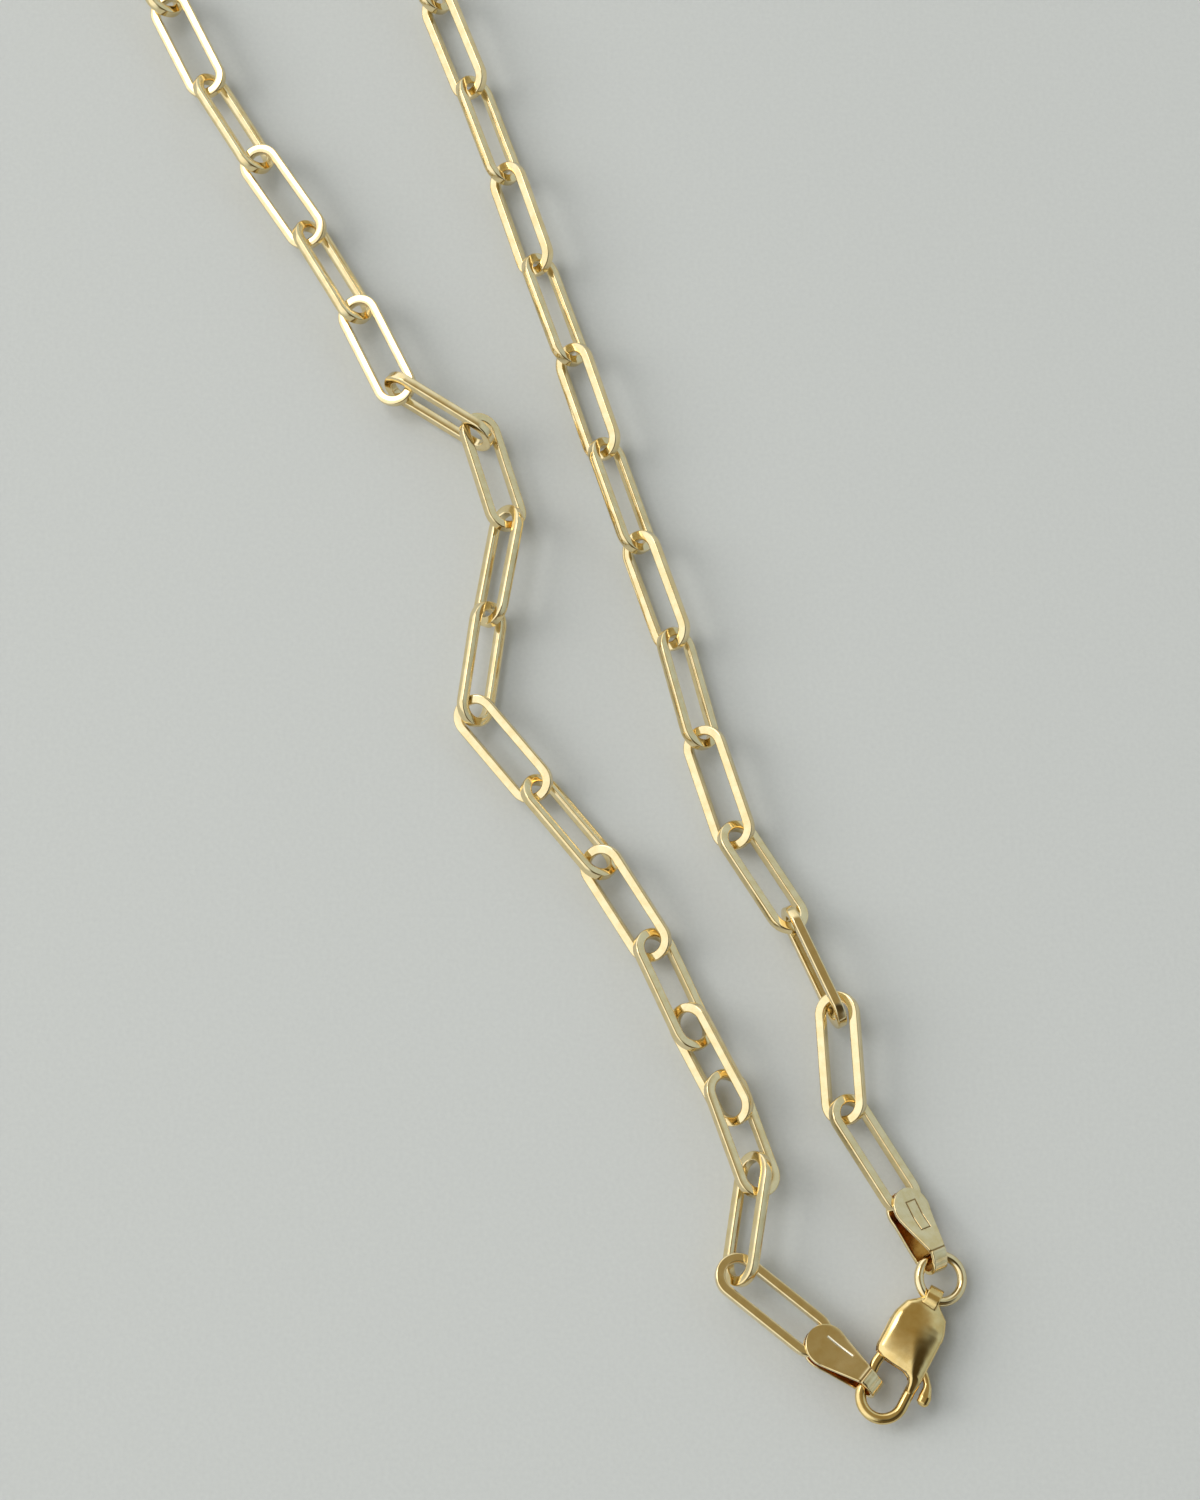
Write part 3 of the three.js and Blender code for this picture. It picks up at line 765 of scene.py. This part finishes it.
@dataclass
class EndTab:
    """A teardrop plate folded over a wire, which grips the chain's last link at its wide end."""

    length: float = 7.2
    width: float = 3.45
    neck: float = 1.45
    neck_length: float = 1.5
    plate: float = 0.35
    grip: float = 2.0
    shoulder: float = 2.8
    nose: float = 1.0
    nose_start: float = 112.0
    nose_swell: tuple[float, float] = (-0.035, 0.0595)
    crease_round: float = 0.12
    crease_drops: tuple[float, float] = (0.03, 0.05)
    wire: float = 0.8
    bite: float = 0.04
    edge: float = 0.09
    edge_steps: int = 4
    least_half_width: float = 0.02
    tip_cut: float = 0.001

    def half_width(self, y: np.ndarray) -> np.ndarray:
        """Half the plate's width along its length.

        The neck is straight. From it a straight flank meets the round head, whose half width at
        y is the root of its radius squared less the distance from its centre squared.

        Args:
            y: Distances from the nose.

        Returns:
            One half width for each distance.
        """
        radius = self.width / 2
        centre = self.length - radius
        half_neck = self.neck / 2
        away = math.hypot(half_neck, centre - self.neck_length)
        lean = math.asin(radius / away) - math.atan2(half_neck, centre - self.neck_length)
        touch = centre - radius * math.sin(lean)
        flank = np.interp(y, [self.neck_length, touch], [half_neck, radius * math.cos(lean)])
        head = np.sqrt(np.maximum(radius**2 - (y - centre) ** 2, self.least_half_width**2))
        return np.where(y < touch, flank, head)

    def fold_line(self) -> np.ndarray:
        """Middle line of the plate from the top leaf's end, round the fold, to the lower leaf's.

        The leaf lies flat on the soldered link. It then rises to the neck, a quarter of the way
        eased and the rest straight, turns a small crease, and swells down a cheek into the nose,
        which is an arc round the wire that it holds. The lower half mirrors the upper one.

        Returns:
            Rows of y and z.
        """
        half = self.plate / 2
        closed = self.wire / 2 - self.bite + half
        opened = self.shoulder / 2 - half
        grip_start = self.length - self.grip - self.plate
        to_tip = np.sin(np.linspace(math.pi / 2, 0, 26))
        head = grip_start + (self.length - self.tip_cut - grip_start) * to_tip
        leaf = np.column_stack([head, np.full(len(head), closed)])
        share = np.linspace(0, 1, 14)[1:-2]
        rise = 0.25 * share**2 * (3 - 2 * share) + 0.75 * share
        flank = np.column_stack(
            [
                grip_start + (self.neck_length - grip_start) * share,
                closed + (opened - closed) * rise,
            ]
        )
        before, after = self.crease_drops
        corner = [
            [self.neck_length + self.crease_round, opened - before],
            [self.neck_length, opened],
            [self.neck_length - self.crease_round, opened - after],
        ]
        crease = smooth_path(np.array(corner), 4)
        turn = np.radians(np.linspace(self.nose_start, 360 - self.nose_start, 25))
        radius = self.nose - half
        nose = np.column_stack([self.nose + radius * np.cos(turn), radius * np.sin(turn)])
        swell = (crease[-1] + nose[0]) / 2 + self.nose_swell
        cheek = smooth_path(np.array([crease[-1], swell, nose[0]]), 6)[1:-1]
        upper = np.vstack([leaf, flank, crease, cheek])
        return np.vstack([upper, nose, upper[::-1] * [1, -1]])

    def section(self) -> np.ndarray:
        """Points round the plate's section: side (-1 to 1), inset of the edge, and lift.

        The half that looks into the fold comes first: a quarter circle up the left edge, the
        face from left to right, and the right edge. The other half mirrors it back.

        Returns:
            A row of side, inset and lift for each point.
        """
        turn = np.linspace(0, math.pi / 2, self.edge_steps)
        inset = self.edge * (1 - np.cos(turn))
        lift = self.plate / 2 - self.edge * (1 - np.sin(turn))
        left = np.column_stack([np.full(len(turn), -1.0), inset, lift])
        span = np.linspace(-1, 1, 9)[1:-1]
        face = np.column_stack([span, np.zeros(len(span)), np.full(len(span), self.plate / 2)])
        half = np.vstack([left, face, left[::-1] * [-1, 1, 1]])
        return np.vstack([half, half[::-1] * [1, 1, -1]])

    def surface(self) -> Surface:
        """Offset the fold line by half the plate each way, and spread it across the plate's width.

        A point is the fold line's point plus its normal times the section's lift. Its x is the
        half width there times the section's side, drawn in by the inset of the rounded edge.

        Returns:
            The folded plate, its nose at the origin.
        """
        line = self.fold_line()
        step = np.gradient(line, axis=0)
        tangent = step / np.linalg.norm(step, axis=1, keepdims=True)
        normal = np.column_stack([-tangent[:, 1], tangent[:, 0]])
        half_width = self.half_width(line[:, 0])[:, None]
        side, inset, lift = self.section().T[:, None, :]
        x = side * half_width - np.sign(side) * np.minimum(inset, 0.8 * half_width)
        y = line[:, :1] + normal[:, :1] * lift
        z = line[:, 1:] + normal[:, 1:] * lift
        return Surface.tube(np.stack([x, y, z], axis=-1), False)

    def inner_faces(self, count: int) -> np.ndarray:
        """Number the material of each face of the plate: 1 on the side that looks into the fold,
        which gets the painted shade.

        The faces run round the section row by row, and the last two are the plate's ends.

        Args:
            count: Number of faces.

        Returns:
            One number for each face.
        """
        columns = len(self.section())
        side = np.zeros(columns, dtype=np.int32)
        side[self.edge_steps - 1 : columns // 2 - self.edge_steps] = 1
        rows = np.tile(side, (count - 2) // columns)
        return np.concatenate([rows, np.zeros(2, dtype=np.int32)])

    def link_surface(self, link: ChainLink, swing: float) -> Surface:
        """Place the soldered link, whose end lies between the leaves.

        Args:
            link: The chain's link.
            swing: Degrees that it is turned clockwise about the middle of its gripped end.

        Returns:
            The link in the tab's frame.
        """
        made = link.surface()
        turn = heading_turn(swing, 0.0, 0.0)
        gripped_end = np.array([0, (link.length - link.width) / 2, 0])
        pivot = np.array([0, self.length - self.grip + link.width / 2, 0])
        return Surface((made.points + gripped_end) @ turn.T + pivot, made.faces)


@dataclass
class LobsterClasp:
    """The cast lobster clasp: tail loop, ridged body with a slot for the lever, and hook.

    In its tables the first column is the distance from the tail along the clasp. The second is
    the shell's left side, its right side, half its thickness, or how far right its ridge lies.
    An arm's row is x and y of its middle line and the section's width and height there.
    """

    length: float = 12.0
    width: float = 4.6
    left_side: Rows = (
        (1.0, 0.5), (1.42, 0.95), (2.1, 1.8), (3.15, 2.2), (3.7, 2.28), (6.3, 2.28), (6.75, 2.12),
        (7.0, 1.7), (7.12, 1.0), (7.22, -0.5), (7.45, -1.05), (7.9, -1.32), (8.5, -1.45),
    )
    right_side: Rows = (
        (1.0, -0.5), (1.42, -0.95), (2.1, -1.8), (3.15, -2.2), (3.7, -2.28), (7.4, -2.28),
        (8.5, -2.17),
    )
    half_thickness: Rows = (
        (1.0, 0.7), (1.4, 0.86), (2.4, 1.12), (3.6, 1.2), (5.2, 1.2), (7.2, 0.98), (8.5, 0.5),
    )
    ridge_line: Rows = ((1.6, 1.3), (3.1, 0.7), (8.0, -1.6))
    reach: float = 0.8
    squareness: int = 5
    facet_drop: float = 0.46
    facet_round: float = 1.9
    tail_radius: float = 1.08
    tail_width: float = 1.2
    tail_wall: float = 0.3
    tail_edge: float = 0.06
    body_end: float = 7.23
    hook_wire: float = 0.92
    hook_radius: float = 1.738
    hook_tip: float = 8.82
    hook_root: float = 1.2
    pivot: tuple[float, float] = (0.3, 4.89)
    slot: float = 0.9
    slot_behind_pivot: float = 1.05
    lever: float = 0.7
    boss_radius: float = 0.85
    gate_arm: Rows = (
        (0.3, 4.89, 1.0, 0.66),
        (1.35, 6.4, 0.85, 0.66),
        (1.66, 7.5, 0.86, 0.66),
        (1.62, 8.3, 0.8, 0.62),
        (1.6, 8.5, 0.48, 0.45),
    )
    nub_arm: Rows = (
        (0.3, 4.89, 0.8, 0.66),
        (-1.4, 6.1, 0.75, 0.66),
        (-2.65, 7.15, 0.55, 0.6),
        (-3.0, 8.2, 1.05, 1.05),
        (-3.02, 8.75, 1.0, 1.0),
        (-3.0, 8.98, 0.45, 0.45),
    )

    def shell(self) -> Surface:
        """Loft the body from tail to eye.

        At each station the section's x runs between the two sides with the cosine of an angle,
        and its z is half the thickness times a superellipse of that cosine. Past the ridge line z
        falls away towards the right side, which makes the long facet, and on the other side of
        it the crown drops a little.

        Returns:
            The shell, which the hook and the tail overlap.
        """
        y = np.concatenate(
            [np.linspace(1.0, 6.55, 46), np.linspace(6.6, 7.35, 30), np.linspace(7.4, 8.5, 14)]
        )
        left = between(y, self.left_side)[:, None]
        right = between(y, self.right_side)[:, None]
        ridge = between(y, self.ridge_line, self.reach)[:, None]
        thick = between(y, self.half_thickness, self.reach)[:, None]
        turn = np.linspace(0, 2 * math.pi, 72, endpoint=False)
        across = np.cos(turn)[None, :]
        x = (left + right) / 2 + (left - right) / 2 * across
        power = self.squareness
        rise = (1 - np.abs(across) ** power) ** (1 / power) * np.sign(np.sin(turn))[None, :]
        fall = np.clip((ridge - x) / np.maximum(ridge - right, 0.2), 0, 1)
        slope = 1 - self.facet_drop * fall**self.facet_round
        crown = 1 - 0.05 * np.clip((x - ridge) / 2.5, 0, 1)
        z = thick * rise * slope * crown
        rings = np.stack([x, np.broadcast_to(y[:, None], x.shape), z], axis=-1)
        return Surface.tube(rings[:, ::-1], False)

    def hook(self) -> Surface:
        """Carry a round section up the side arm, half round the end and back to the tip.

        Near the tip the section shrinks as a circle does towards its edge, which rounds the end.

        Returns:
            The hook.
        """
        centre = self.length - self.hook_radius - self.hook_wire / 2
        turn = np.linspace(math.pi, 0, 40)
        arm = np.linspace(self.body_end - self.hook_root, centre, 16, endpoint=False)
        tip = centre - (centre - self.hook_tip) * np.sin(np.linspace(0, math.pi / 2, 12))[1:]
        bend_x = self.hook_radius * np.cos(turn)
        bend_y = centre + self.hook_radius * np.sin(turn)
        arm_x = np.full(len(arm), -self.hook_radius)
        tip_x = np.full(len(tip), self.hook_radius)
        x = np.concatenate([arm_x, bend_x, tip_x])
        y = np.concatenate([arm, bend_y, tip])
        path = np.column_stack([x, y, np.zeros(len(x))])
        from_tip = np.clip((tip - self.hook_tip) / (0.35 * self.hook_wire), 0.03, 1)
        rounded = np.sqrt(np.clip(1 - (1 - from_tip) ** 2, 0.02, 1))
        size = np.concatenate([np.ones(len(arm) + len(turn)), rounded])
        section = rounded_rectangle(self.hook_wire, self.hook_wire, self.hook_wire * 0.42, 6)
        return sweep(path, section, UP, np.column_stack([size, size]), False)

    def tail(self) -> Surface:
        """Carry the strip's flat section round a circle that stands across the clasp.

        Returns:
            The tail loop.
        """
        ring = circle(self.tail_radius - self.tail_wall / 2, 64)
        path = np.column_stack([np.zeros(len(ring)), self.tail_radius + ring[:, 0], ring[:, 1]])
        section = rounded_rectangle(self.tail_wall, self.tail_width, self.tail_edge, 3)
        return sweep(path, section, RIGHT, np.ones((len(path), 2)), True)

    def slot_space(self) -> Surface:
        """Box that is cut through the body from side to side, from behind the boss to the eye.

        Returns:
            The lever's slot as a solid.
        """
        low = self.pivot[1] - self.slot_behind_pivot
        high = self.body_end + self.hook_wire / 2
        profile = rounded_rectangle(self.width + 2, self.slot, 0.05, 2)
        x, z = (np.broadcast_to(profile[None, :, i], (2, len(profile))) for i in (0, 1))
        y = np.broadcast_to(np.array([[low], [high]]), x.shape)
        return Surface.tube(np.stack([x, y, z], axis=-1)[:, ::-1], False)

    def body_mesh(self) -> bpy.types.Mesh:
        """The cast body with its slot."""
        solid = self.shell().joined(self.hook()).joined(self.tail())
        return Casting(grain=0.054).fuse("clasp_body_shown", solid, self.slot_space())

    def boss(self) -> Surface:
        """The lever's round boss on the rivet: two circles, one above the other.

        Returns:
            The boss.
        """
        disc = circle(self.boss_radius, 40) + self.pivot
        heights = (-self.lever / 2, self.lever / 2)
        rings = [np.column_stack([disc, np.full(len(disc), height)]) for height in heights]
        return Surface.tube(np.stack(rings), False)

    @staticmethod
    def arm(rows: Rows) -> Surface:
        """Carry a soft flat section along an arm of the lever, with its size set along the way.

        Args:
            rows: Rows of x, y, width and height.

        Returns:
            The arm.
        """
        table = np.array(rows)
        steps = 8
        middle = np.column_stack([table[:, :2], np.zeros(len(table))])
        path = smooth_path(middle, steps)
        place = np.arange(len(path)) / steps
        size = [np.interp(place, np.arange(len(table)), table[:, i]) for i in (2, 3)]
        section = rounded_rectangle(1.0, 1.0, 0.36, 5)
        return sweep(path, section, UP, np.stack(size, axis=1), False)

    def lever_mesh(self) -> bpy.types.Mesh:
        """The lever: a boss on the rivet, the gate on one side and the thumb nub on the other."""
        solid = self.boss().joined(self.arm(self.gate_arm)).joined(self.arm(self.nub_arm))
        return Casting(grain=0.04, passes=2).fuse("clasp_lever_shown", solid)


@dataclass(frozen=True)
class TabLie:
    """How an end tab lies, in degrees, and the plain mark in its upper leaf.

    Swing is how far its soldered link is turned clockwise from the tab.
    """

    heading: float
    pitch: float
    roll: float
    swing: float
    mark: Punch


@dataclass
class Necklace:
    """All shown pieces, posed from the part's own nodes.

    The links, the ring and the tabs' insides share their materials. A tab's plate has one of its
    own from the plate's finish, because its marks follow its pose.
    """

    frame: dict[str, Any]
    polished: bpy.types.Material
    cast: bpy.types.Material
    # Gold of the tabs' insides, painted darker and more orange as shade and reflection in the
    # fold.
    inner: bpy.types.Material
    plate: GoldFinish
    clasp_heading: float = 208.5
    # The ring tab's mark has the dark hue: painted shade in its line.
    ring_tab: TabLie = TabLie(-25.0, -1.835, -29.0, -8.0, Punch(4.8, 0.1, 1.25, 0.48))
    # The hook tab's mark is a pale line: a painted glint.
    hook_tab: TabLie = TabLie(-50.0, 1.302, -11.0, -1.5, Punch(4.6, 0.6, 1.2, 0.02, hue="#FFF9E8"))

    def chain(self) -> None:
        """Show every free link in the pose of its node."""
        surface = ChainLink().surface()
        for node in sorted(n for n in self.frame["nodes"] if n.startswith("link_")):
            pose = pose_by_axes(node_points(self.frame, node))
            piece = Piece(node + "_shown", Body.NECKLACE, self.polished, pose)
            piece.show(surface.mesh(node + "_shown"), (node,))

    def tab(self, node: str, lie: TabLie) -> None:
        """Show a folded tab and the link that is soldered in it.

        Args:
            node: The tab's node.
            lie: How it lies.
        """
        turn = heading_turn(lie.heading, lie.pitch, lie.roll)
        pose = pose_by_nose(node_points(self.frame, node), turn)
        tab = EndTab()
        # The neck's crease is a punched line whose dark hue is painted shade.
        crease = Punch(tab.neck_length + 0.14, 0.0, 0.0, tab.neck, 0.13)
        finish = self.plate.material((lie.mark, crease), pose)
        plate = Piece(node + "_plate", Body.NECKLACE, finish, pose)
        mesh = plate.show(tab.surface().mesh(node + "_plate"), (node,)).data
        # Faces that look into the fold take the inner gold: painted shade.
        mesh.materials.append(self.inner)
        mesh.polygons.foreach_set("material_index", tab.inner_faces(len(mesh.polygons)))
        link = Piece(node + "_link", Body.NECKLACE, self.polished, pose)
        link.show(tab.link_surface(ChainLink(), lie.swing).mesh(node + "_link"))

    def ring(self) -> None:
        """Show the jump ring in the pose of its node."""
        pose = pose_by_axes(node_points(self.frame, "jump_ring"))
        piece = Piece("jump_ring_shown", Body.NECKLACE, self.polished, pose)
        piece.show(JumpRing().surface().mesh("jump_ring_shown"), ("jump_ring",))

    def clasp(self) -> None:
        """Show the clasp's body and its lever in the body's pose, and dress the hidden rivet."""
        turn = heading_turn(self.clasp_heading, 0.0, 0.0)
        pose = pose_by_nose(node_points(self.frame, "clasp_body"), turn)
        clasp = LobsterClasp()
        body = Piece("clasp_body_shown", Body.NECKLACE, self.cast, pose)
        body.show(clasp.body_mesh(), ("clasp_body",))
        lever = Piece("clasp_lever_shown", Body.TRIGGER, self.cast, pose)
        lever.show(clasp.lever_mesh(), ("clasp_lever",))
        rivet = self.frame["nodes"]["clasp_pin"].data
        rivet.materials.clear()
        rivet.materials.append(self.cast)


@dataclass(frozen=True)
class Shade:
    """A soft round patch of tone in the room that the gold mirrors.

    Start and full are the cosines, of a ray with the patch's facing, between which it comes in.
    """

    facing: tuple[float, float, float]
    start: float
    full: float
    hue: str
    gain: float = 1.0

    def colour(self) -> tuple[float, float, float, float]:
        """Linear colour times the gain."""
        red, green, blue, _ = linear(self.hue)
        return (red * self.gain, green * self.gain, blue * self.gain, 1.0)


@dataclass(frozen=True)
class Lamp:
    """A square soft light that faces the photo's middle: place and side in metres, and watts."""

    name: str
    place: tuple[float, float, float]
    side: float
    power: float
    hue: str


def facing_share(
    tree: bpy.types.NodeTree,
    ray: bpy.types.NodeSocket,
    facing: tuple[float, float, float],
    start: float,
    full: float,
    ease: str,
) -> bpy.types.NodeSocket:
    """Share of a tone for a ray, by the cosine of its angle with a facing.

    Args:
        tree: The room's node tree.
        ray: Direction of the ray.
        facing: The facing, of any length.
        start: Cosine at which the share is 0.
        full: Cosine at which it is 1.
        ease: How it rises between them, as the node names it.

    Returns:
        The share's socket.
    """
    length = math.sqrt(sum(part * part for part in facing))
    unit = tuple(part / length for part in facing)
    cosine = add_node(
        tree, "ShaderNodeVectorMath", {"operation": "DOT_PRODUCT"}, {0: ray, 1: unit}
    )
    share = add_node(
        tree,
        "ShaderNodeMapRange",
        {"interpolation_type": ease},
        {"Value": cosine.outputs["Value"], "From Min": start, "From Max": full},
    )
    return share.outputs["Result"]


@dataclass
class Studio:
    """The pale surface, a window-like light on the left, and the photo's camera.

    The ring's place in the photo and the camera's place are in millimetres from the middle of
    the photo. The room is a ramp of tones from behind right to the window, with round shades.
    """

    ring_in_photo: tuple[float, float] = (27.5, -44.6)
    camera_place: tuple[float, float, float] = (0.0, -68.3, 255.0)
    lens: float = 74.6
    sensor: float = 36.0
    surface_reach: float = 1.5
    surface_drop: float = 2e-5
    lamps: tuple[Lamp, ...] = (
        Lamp("window", (-0.95, 0.1, 0.5), 0.6, 6.2, "#FFFDF8"),
        Lamp("fill", (0.5, -0.7, 0.8), 0.5, 0.5, "#F4F6FF"),
    )
    window_facing: tuple[float, float, float] = (-0.8, 0.25, 0.55)
    room_strength: float = 1.25
    room_places: tuple[float, ...] = (0.02, 0.2, 0.6, 0.8, 0.97)
    room_hues: tuple[str, ...] = ("#8B8F8C", "#A6B2BA", "#B9C1C3", "#F4F6F6", "#FFFFFF")
    room_shades: tuple[Shade, ...] = (
        Shade((0.12, 0.32, 0.94), 0.83, 0.965, "#8C8062"),
        Shade((0.4, -0.42, 0.81), 0.82, 0.95, "#3F3828"),
        Shade((0.25, -0.93, 0.3), 0.7, 0.95, "#5A503C"),
        Shade((-0.42, 0.35, 0.84), 0.972, 0.988, "#FFFFFF", 3.0),
    )

    def photo_middle(self) -> Vector:
        """Find the middle of the photo on the surface from where the jump ring lies.

        Returns:
            The point in metres.
        """
        low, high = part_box("jump_ring")
        middle = (low + high) / 2
        right, up = self.ring_in_photo
        return Vector((middle.x - right * MM, middle.y - up * MM, 0))

    def surface(self) -> None:
        """Lay a wide flat sheet just under the necklace."""
        signs = np.array([[-1, -1, 0], [1, -1, 0], [1, 1, 0], [-1, 1, 0]])
        corners = signs * self.surface_reach - [0, 0, self.surface_drop]
        mesh = bpy.data.meshes.new("surface")
        mesh.from_pydata(corners.tolist(), [], [[0, 1, 2, 3]])
        mesh.materials.append(PaperFinish().material())
        floor = bpy.data.objects.new("surface", mesh)
        bpy.context.scene.collection.objects.link(floor)

    def hang(self, lamp: Lamp) -> None:
        """Hang a lamp, which polished metal doesn't mirror: what that mirrors is the room.

        Args:
            lamp: The lamp.
        """
        aim = self.photo_middle()
        data = bpy.data.lights.new(lamp.name, "AREA")
        data.size = lamp.side
        data.energy = lamp.power
        data.color = linear(lamp.hue)[:3]
        light = bpy.data.objects.new(lamp.name, data)
        light.location = aim + Vector(lamp.place)
        light.rotation_mode = "QUATERNION"
        light.rotation_quaternion = (aim - light.location).to_track_quat("-Z", "Y")
        light.visible_glossy = False
        bpy.context.scene.collection.objects.link(light)

    def room(self) -> None:
        """Paint the room round the necklace: the ramp of tones first, and the shades over it."""
        world = bpy.data.worlds.new("room")
        world.use_nodes = True
        tree = world.node_tree
        tree.nodes.clear()
        ray = add_node(tree, "ShaderNodeTexCoord").outputs["Generated"]
        to_window = facing_share(tree, ray, self.window_facing, -1.0, 1.0, "LINEAR")
        ramp = add_node(tree, "ShaderNodeValToRGB", inputs={"Fac": to_window})
        for place, hue in zip(self.room_places, self.room_hues):
            stop = ramp.color_ramp.elements.new(place)
            stop.color = linear(hue)
        ramp.color_ramp.elements.remove(ramp.color_ramp.elements[0])
        ramp.color_ramp.elements.remove(ramp.color_ramp.elements[-1])
        tone = ramp.outputs["Color"]
        for shade in self.room_shades:
            share = facing_share(tree, ray, shade.facing, shade.start, shade.full, "SMOOTHSTEP")
            mixed = add_node(
                tree,
                "ShaderNodeMix",
                {"data_type": "RGBA"},
                {"Factor": share, 6: tone, 7: shade.colour()},
            )
            tone = mixed.outputs[2]
        glow = add_node(
            tree, "ShaderNodeBackground", inputs={"Color": tone, "Strength": self.room_strength}
        )
        add_node(tree, "ShaderNodeOutputWorld", inputs={"Surface": glow.outputs["Background"]})
        bpy.context.scene.world = world

    def camera(self) -> None:
        """Place the camera steeply above the surface, aimed at the middle of the photo."""
        aim = self.photo_middle()
        data = bpy.data.cameras.new("camera")
        data.sensor_width = self.sensor
        data.lens = self.lens
        data.clip_start = 0.01
        camera = bpy.data.objects.new("camera", data)
        camera.location = aim + Vector(self.camera_place) * MM
        camera.rotation_mode = "QUATERNION"
        camera.rotation_quaternion = (aim - camera.location).to_track_quat("-Z", "Y")
        bpy.context.scene.collection.objects.link(camera)
        bpy.context.scene.camera = camera
        bpy.context.scene.view_settings.view_transform = "Standard"


def main(frame: dict[str, Any]) -> None:
    """Build the necklace and the studio in order.
    """
    # Drawn wire is the brightest, the cast clasp waves most, and a fold's inside is rougher and
    # painted darker and more orange: painted shade and painted reflection in the fold.
    polished = GoldFinish("polished_gold", "#F4E2B4", "#EDD7A2", 0.08, 0.13)
    cast = GoldFinish("cast_gold", "#EFD596", "#E6C680", 0.09, 0.15, wave_height_mm=0.035)
    plate = GoldFinish("plate_gold", "#F4E2B4", "#EBD49C", 0.09, 0.14, wave_height_mm=0.02)
    inner = GoldFinish("inner_gold_painted_shade", "#D39A4A", "#B87C30", 0.2, 0.3)
    necklace = Necklace(frame, polished.material(), cast.material(), inner.material(), plate)
    necklace.chain()
    necklace.tab("ring_end_tab", necklace.ring_tab)
    necklace.tab("hook_end_tab", necklace.hook_tab)
    necklace.ring()
    necklace.clasp()
    studio = Studio()
    studio.surface()
    for lamp in studio.lamps:
        studio.hang(lamp)
    studio.room()
    studio.camera()


if __name__ == "__main__":
    logging.basicConfig(level=logging.INFO)
    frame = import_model()
    main(frame)
